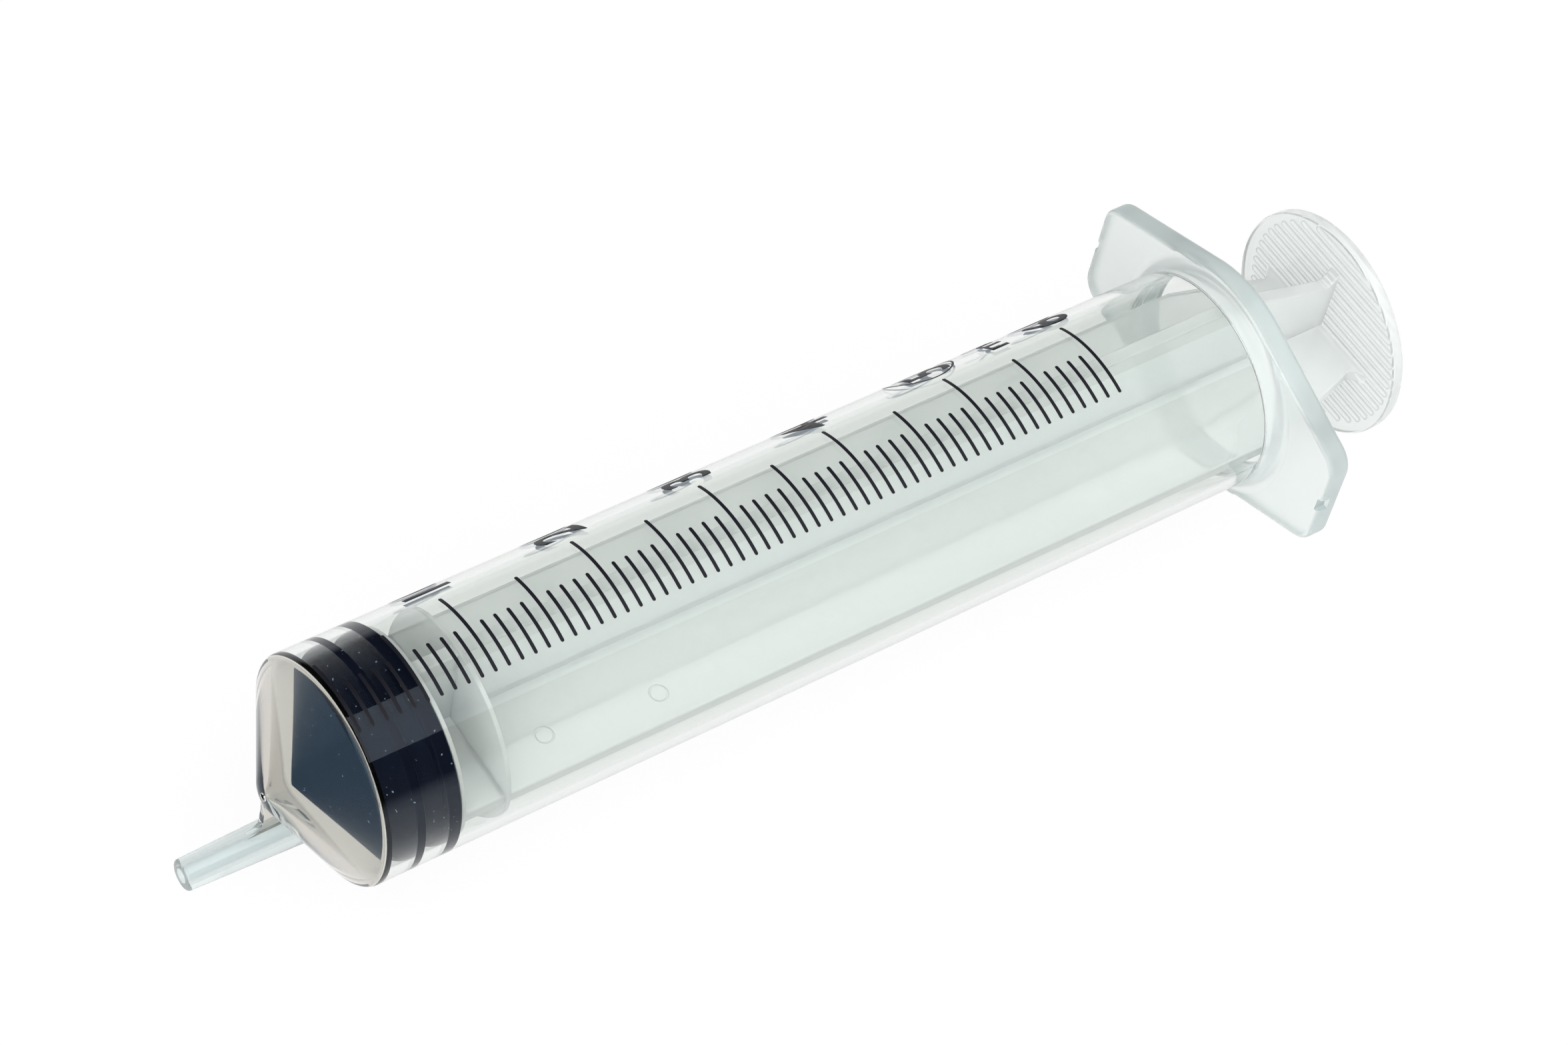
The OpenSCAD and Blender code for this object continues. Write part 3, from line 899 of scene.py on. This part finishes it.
class SYRINGE_OT_stopper(bpy.types.Operator):
    """Model the rubber stopper"""
    bl_idname = "syringe.stopper"
    bl_label = "Stopper"

    def execute(self, context):
        piece = build_stopper(context.scene.syringe_stopper, context.scene.syringe_barrel)
        dress(piece, rubber_material(context.scene.syringe_finishes))
        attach(piece, "stopper_body")
        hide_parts("stopper")
        return {"FINISHED"}


def rounded_disc(name, start, end, radius, rounding):
    """Disc with both rims rounded."""
    profile = [(start, 0)]
    profile += arc(start + rounding, radius - rounding, rounding, -90, 0, 5)
    profile += arc(end - rounding, radius - rounding, rounding, 0, 90, 5)
    profile += [(end, 0)]
    return lathe(name, profile)


def rib_outline(sizes, start, thumb, half):
    """One side of the crossed ribs: straight along the bore, narrowing to a round waist, flaring again."""
    waist = thumb - sizes.waist_back
    notch = sizes.waist_width / 2 + sizes.waist_radius
    narrow = thumb - sizes.narrowing
    run = Vector((waist - narrow, notch - half))
    slope = math.atan2(run.y, run.x) - math.asin(sizes.waist_radius / run.length)
    first = math.degrees(slope) + 180
    last = 180 - math.degrees(math.asin((sizes.waist_back + sizes.waist_sink) / sizes.waist_radius))
    side = [(start, half), (narrow, half)]
    side += arc(waist, notch, sizes.waist_radius, first, last, 16)
    return side


def crossed_rib(sizes, start, thumb, end, half):
    """A full-width rib in the XZ plane with its long edges slightly rounded."""
    side = rib_outline(sizes, start, thumb, half)
    side.append((end, side[-1][1]))
    outline = side + [(x, -z) for x, z in reversed(side)]
    piece = slab("rib", outline, sizes.rib_thickness)
    with edited(piece):
        select_edges(piece, lambda a, b: abs(a.y - b.y) < TOUCH
                     and min(abs(a.z - AXIS_Z), abs(b.z - AXIS_Z)) > sizes.rib_thickness / 2)
        bpy.ops.mesh.bevel(offset=sizes.rib_edge, segments=3, profile=0.5, affect="EDGES")
    return piece


def ejector_mark(sizes, x, y):
    """Shallow round mark that an ejector pin leaves on a rib's upper face."""
    bpy.ops.mesh.primitive_torus_add(
        major_radius=sizes.mark_radius, minor_radius=sizes.mark_groove, major_segments=48, minor_segments=8,
        location=(x, y, AXIS_Z + sizes.rib_thickness / 2))
    return added("mark")


def thumb_ridges(sizes, start, end):
    """Field of parallel ridges with round ends on the thumb's side of the rest."""
    field = (PLUNGER_HIGH.y - PLUNGER_LOW.y) / 2 - sizes.ridge_margin
    count = math.floor((field - sizes.ridge_width) / sizes.ridge_pitch)
    ridges = []
    for i in range(-count, count + 1):
        z = i * sizes.ridge_pitch
        half = math.sqrt(field ** 2 - z ** 2)
        low = Vector((start, -half, AXIS_Z + z - sizes.ridge_width / 2))
        high = Vector((end, half, AXIS_Z + z + sizes.ridge_width / 2))
        ridge = box("ridge", low, high)
        with edited(ridge):
            select_edges(ridge, lambda a, b: abs(a.x - b.x) > TOUCH)
            bpy.ops.mesh.bevel(offset=sizes.ridge_width * sizes.ridge_end, segments=4, affect="EDGES")
            select_edges(ridge, lambda a, b: min(a.x, b.x) > end - TOUCH)
            bpy.ops.mesh.bevel(offset=sizes.ridge_height * sizes.ridge_crest, segments=3, affect="EDGES")
        ridges.append(ridge)
    return join(ridges[0], ridges[1:])


def build_plunger(sizes, barrel, stopper):
    """Plunger rod as one closed moulding: head, guide discs, crossed ribs and thumb rest."""
    at = stopper_stations(stopper, barrel)
    gap = sizes.snap_gap
    rise = math.tan(barrel.cone_angle)
    head_r = stopper.lip_radius + stopper.catch - gap
    neck_r = stopper.lip_radius - gap
    point = at.cavity_point + gap / math.cos(barrel.cone_angle)
    front_disc = at.rear + gap
    rear_disc = front_disc + sizes.disc_pitch
    in_disc = front_disc + sizes.disc_thickness / 2
    piece = lathe("plunger_moulding", [
        (point, 0), (point + head_r * rise, head_r), (at.lip - gap, head_r), (at.lip - gap, neck_r),
        (in_disc, neck_r), (in_disc, 0)])
    disc_r = barrel.bore_radius - sizes.disc_gap
    for start in (front_disc, rear_disc):
        disc = rounded_disc("disc", start, start + sizes.disc_thickness, disc_r, sizes.disc_rounding)
        combine(piece, disc, "UNION")
    end = PLUNGER_HIGH.x - sizes.ridge_height
    thumb = end - sizes.thumb_thickness
    thumb_r = (PLUNGER_HIGH.y - PLUNGER_LOW.y) / 2
    half = barrel.bore_radius - sizes.rib_gap
    inside = front_disc + sizes.disc_thickness / 4
    outside = thumb + sizes.thumb_thickness / 2
    upright, across = (crossed_rib(sizes, inside, thumb, outside, half) for _ in range(2))
    across.location.z = AXIS_Z
    for vertex in across.data.vertices:
        vertex.co.z -= AXIS_Z
    across.rotation_euler.x = math.pi / 2
    settle(across)
    for i in range(2):
        mark = ejector_mark(sizes, rear_disc + sizes.mark_start + i * sizes.mark_pitch,
                            -sizes.mark_side - i * sizes.mark_shift)
        combine(across, mark, "DIFFERENCE")
    combine(piece, upright, "UNION")
    combine(piece, across, "UNION")
    rest = rounded_disc("rest", thumb, end, thumb_r, sizes.thumb_rounding)
    combine(rest, thumb_ridges(sizes, end - sizes.ridge_sink, PLUNGER_HIGH.x), "UNION")
    combine(piece, rest, "UNION")
    smooth(piece)
    return piece


def plunger_material(finish, name, clarity, roughness):
    """Polypropylene copolymer, injection moulded: milky, with soft highlights and a faint flow pattern."""
    material, tree, shader = new_material(name, {
        "Base Color": rgba(finish.plunger_tint), "Roughness": roughness, "IOR": PLASTIC_IOR,
        "Transmission Weight": clarity})
    roughen(tree, shader, noise(tree, grain=6 * MM, detail=2.0), strength=0.15, depth=0.05 * MM)
    return material


class SYRINGE_OT_plunger(bpy.types.Operator):
    """Model the plunger rod with its thumb rest"""
    bl_idname = "syringe.plunger"
    bl_label = "Plunger"

    def execute(self, context):
        scene = context.scene
        piece = build_plunger(scene.syringe_plunger, scene.syringe_barrel, scene.syringe_stopper)
        finish = scene.syringe_finishes
        dress(piece, plunger_material(finish, "Moulded polypropylene, milky ribs", 0.55, 0.1),
              plunger_material(finish, "Moulded polypropylene, thumb rest", 0.78, 0.2))
        thumb = PLUNGER_HIGH.x - scene.syringe_plunger.ridge_height - scene.syringe_plunger.thumb_thickness
        for face in piece.data.polygons:
            if face.center.x > thumb - TOUCH and abs(face.normal.x) > SIDEWAYS:
                face.material_index = 1
        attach(piece, "plunger_body")
        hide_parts("plunger_rod")
        return {"FINISHED"}


def floor_material(finish):
    """Matt white paper sweep, which reads as white and keeps a faint shadow."""
    material, tree = empty_material("Paper sweep, matt white")
    paper = add_node(tree, "ShaderNodeBsdfDiffuse", {"Color": rgba(finish.floor)})
    glow = add_node(tree, "ShaderNodeEmission", {"Color": rgba((1, 1, 1)), "Strength": 1.0})
    rays = add_node(tree, "ShaderNodeLightPath").outputs
    place = add_node(tree, "ShaderNodeTexCoord")
    axes = add_node(tree, "ShaderNodeSeparateXYZ", Vector=place.outputs["Object"]).outputs
    # Seen directly it is nearly all glow, and the rest is paper, which takes the shadow
    direct = remap(tree, rays["Is Camera Ray"], (0, 1), (0, 0.93))
    seen = calculate(tree, "MAXIMUM", direct, rays["Is Transmission Ray"])
    # Mirrored in the plastic it is a bright strip under the syringe, which fades to the sides
    strip = remap(tree, calculate(tree, "ABSOLUTE", axes["Y"]), (45 * MM, 75 * MM), (1.0, 0.1))
    bright = calculate(tree, "MAXIMUM", seen, calculate(tree, "MULTIPLY", rays["Is Glossy Ray"], strip))
    mixed = blend(tree, bright, paper.outputs["BSDF"], glow.outputs["Emission"])
    add_node(tree, "ShaderNodeOutputMaterial", Surface=mixed)
    return material


def studio_world():
    """White studio: bright where it is seen, directly or in the plastic, and softer as a light."""
    world = bpy.data.worlds.new("Studio")
    world.use_nodes = True
    tree = world.node_tree
    background = tree.nodes["Background"]
    background.inputs["Color"].default_value = rgba((1, 1, 1))
    rays = add_node(tree, "ShaderNodeLightPath").outputs
    place = add_node(tree, "ShaderNodeTexCoord")
    axes = add_node(tree, "ShaderNodeSeparateXYZ", Vector=place.outputs["Generated"]).outputs
    # Mirrored, it is a white horizon under a dark ceiling; as a light, it is stronger from the camera's side
    mirrored = remap(tree, axes["Z"], (0.02, 0.2), (0.95, 0.03))
    lit = remap(tree, axes["Y"], (-0.8, 0.8), (1.25, 0.45))
    level = remap(tree, rays["Is Glossy Ray"], (0, 1), (lit, mirrored))
    level = remap(tree, rays["Is Transmission Ray"], (0, 1), (level, 0.9))
    level = remap(tree, rays["Is Camera Ray"], (0, 1), (level, 1.0))
    tree.links.new(level, background.inputs["Strength"])
    return world


def lamp(name, place, target, width, height, power):
    """A soft rectangular lamp that faces a target."""
    data = bpy.data.lights.new(name, "AREA")
    data.shape = "RECTANGLE"
    data.size = width
    data.size_y = height
    data.energy = power
    piece = bpy.data.objects.new(name, data)
    bpy.context.collection.objects.link(piece)
    piece.location = place
    piece.rotation_mode = "QUATERNION"
    piece.rotation_quaternion = (target - place).to_track_quat("-Z", "X")
    return piece


class SYRINGE_OT_stage(bpy.types.Operator):
    """Set up the floor, lamps, world and camera"""
    bl_idname = "syringe.stage"
    bl_label = "Studio"

    def execute(self, context):
        scene = context.scene
        sizes = scene.syringe_studio
        bpy.ops.mesh.primitive_plane_add(size=sizes.floor_size, location=(0, 0, CAD_LOW.z))
        floor = added("floor")
        dress(floor, floor_material(scene.syringe_finishes))
        target = Vector((sizes.box_x, 0, AXIS_Z))
        across = Vector((0, math.cos(sizes.box_bearing), math.sin(sizes.box_bearing))) * sizes.box_reach
        lamp("Overhead softbox", target + across, target, sizes.box_width, sizes.box_depth, sizes.box_power)
        fill = Vector((sizes.fill_x, sizes.fill_y, sizes.fill_z))
        lamp("Front fill", fill, Vector((0, 0, AXIS_Z)), sizes.fill_size, sizes.fill_size, sizes.fill_power)
        scene.world = studio_world()
        data = bpy.data.cameras.new("Camera")
        data.lens = sizes.lens
        data.sensor_width = sizes.sensor
        data.clip_start = 0.01
        camera = bpy.data.objects.new("Camera", data)
        context.collection.objects.link(camera)
        camera.location = (sizes.camera_x, sizes.camera_y, sizes.camera_z)
        view = Vector((math.cos(sizes.azimuth) * math.cos(sizes.dip),
                       math.sin(sizes.azimuth) * math.cos(sizes.dip), -math.sin(sizes.dip)))
        camera.rotation_mode = "QUATERNION"
        camera.rotation_quaternion = view.to_track_quat("-Z", "Y") @ Quaternion((0, 0, 1), sizes.roll)
        scene.camera = camera
        scene.view_settings.view_transform = "Standard"
        return {"FINISHED"}


class SYRINGE_PT_panel(bpy.types.Panel):
    """Lists the syringe's operators and sizes"""
    bl_idname = "SYRINGE_PT_panel"
    bl_label = "Syringe"
    bl_space_type = "VIEW_3D"
    bl_region_type = "UI"
    bl_category = "Syringe"

    def draw(self, context):
        for operator in OPERATORS:
            self.layout.operator(operator.bl_idname)
        for group in GROUPS:
            settings = getattr(context.scene, group)
            for key in settings.bl_rna.properties.keys():
                if key not in ("rna_type", "name"):
                    self.layout.prop(settings, key)


GROUPS = {
    "syringe_barrel": BarrelSizes,
    "syringe_scale": ScaleSizes,
    "syringe_stopper": StopperSizes,
    "syringe_plunger": PlungerSizes,
    "syringe_finishes": Finishes,
    "syringe_studio": StudioSizes,
}
OPERATORS = [
    SYRINGE_OT_stopper,
    SYRINGE_OT_plunger,
    SYRINGE_OT_barrel,
    SYRINGE_OT_print,
    SYRINGE_OT_stage,
]


def register():
    """Registers the property groups, operators and panel."""
    for key, group in GROUPS.items():
        bpy.utils.register_class(group)
        setattr(bpy.types.Scene, key, PointerProperty(type=group))
    for kind in [*OPERATORS, SYRINGE_PT_panel]:
        bpy.utils.register_class(kind)


def unregister():
    """Takes back what register did."""
    for kind in reversed([*OPERATORS, SYRINGE_PT_panel]):
        bpy.utils.unregister_class(kind)
    for key, group in GROUPS.items():
        delattr(bpy.types.Scene, key)
        bpy.utils.unregister_class(group)


def main():
    register()
    bpy.ops.syringe.stopper()
    bpy.ops.syringe.plunger()
    bpy.ops.syringe.barrel()
    bpy.ops.syringe.print()
    bpy.ops.syringe.stage()


if __name__ == "__main__":
    main()
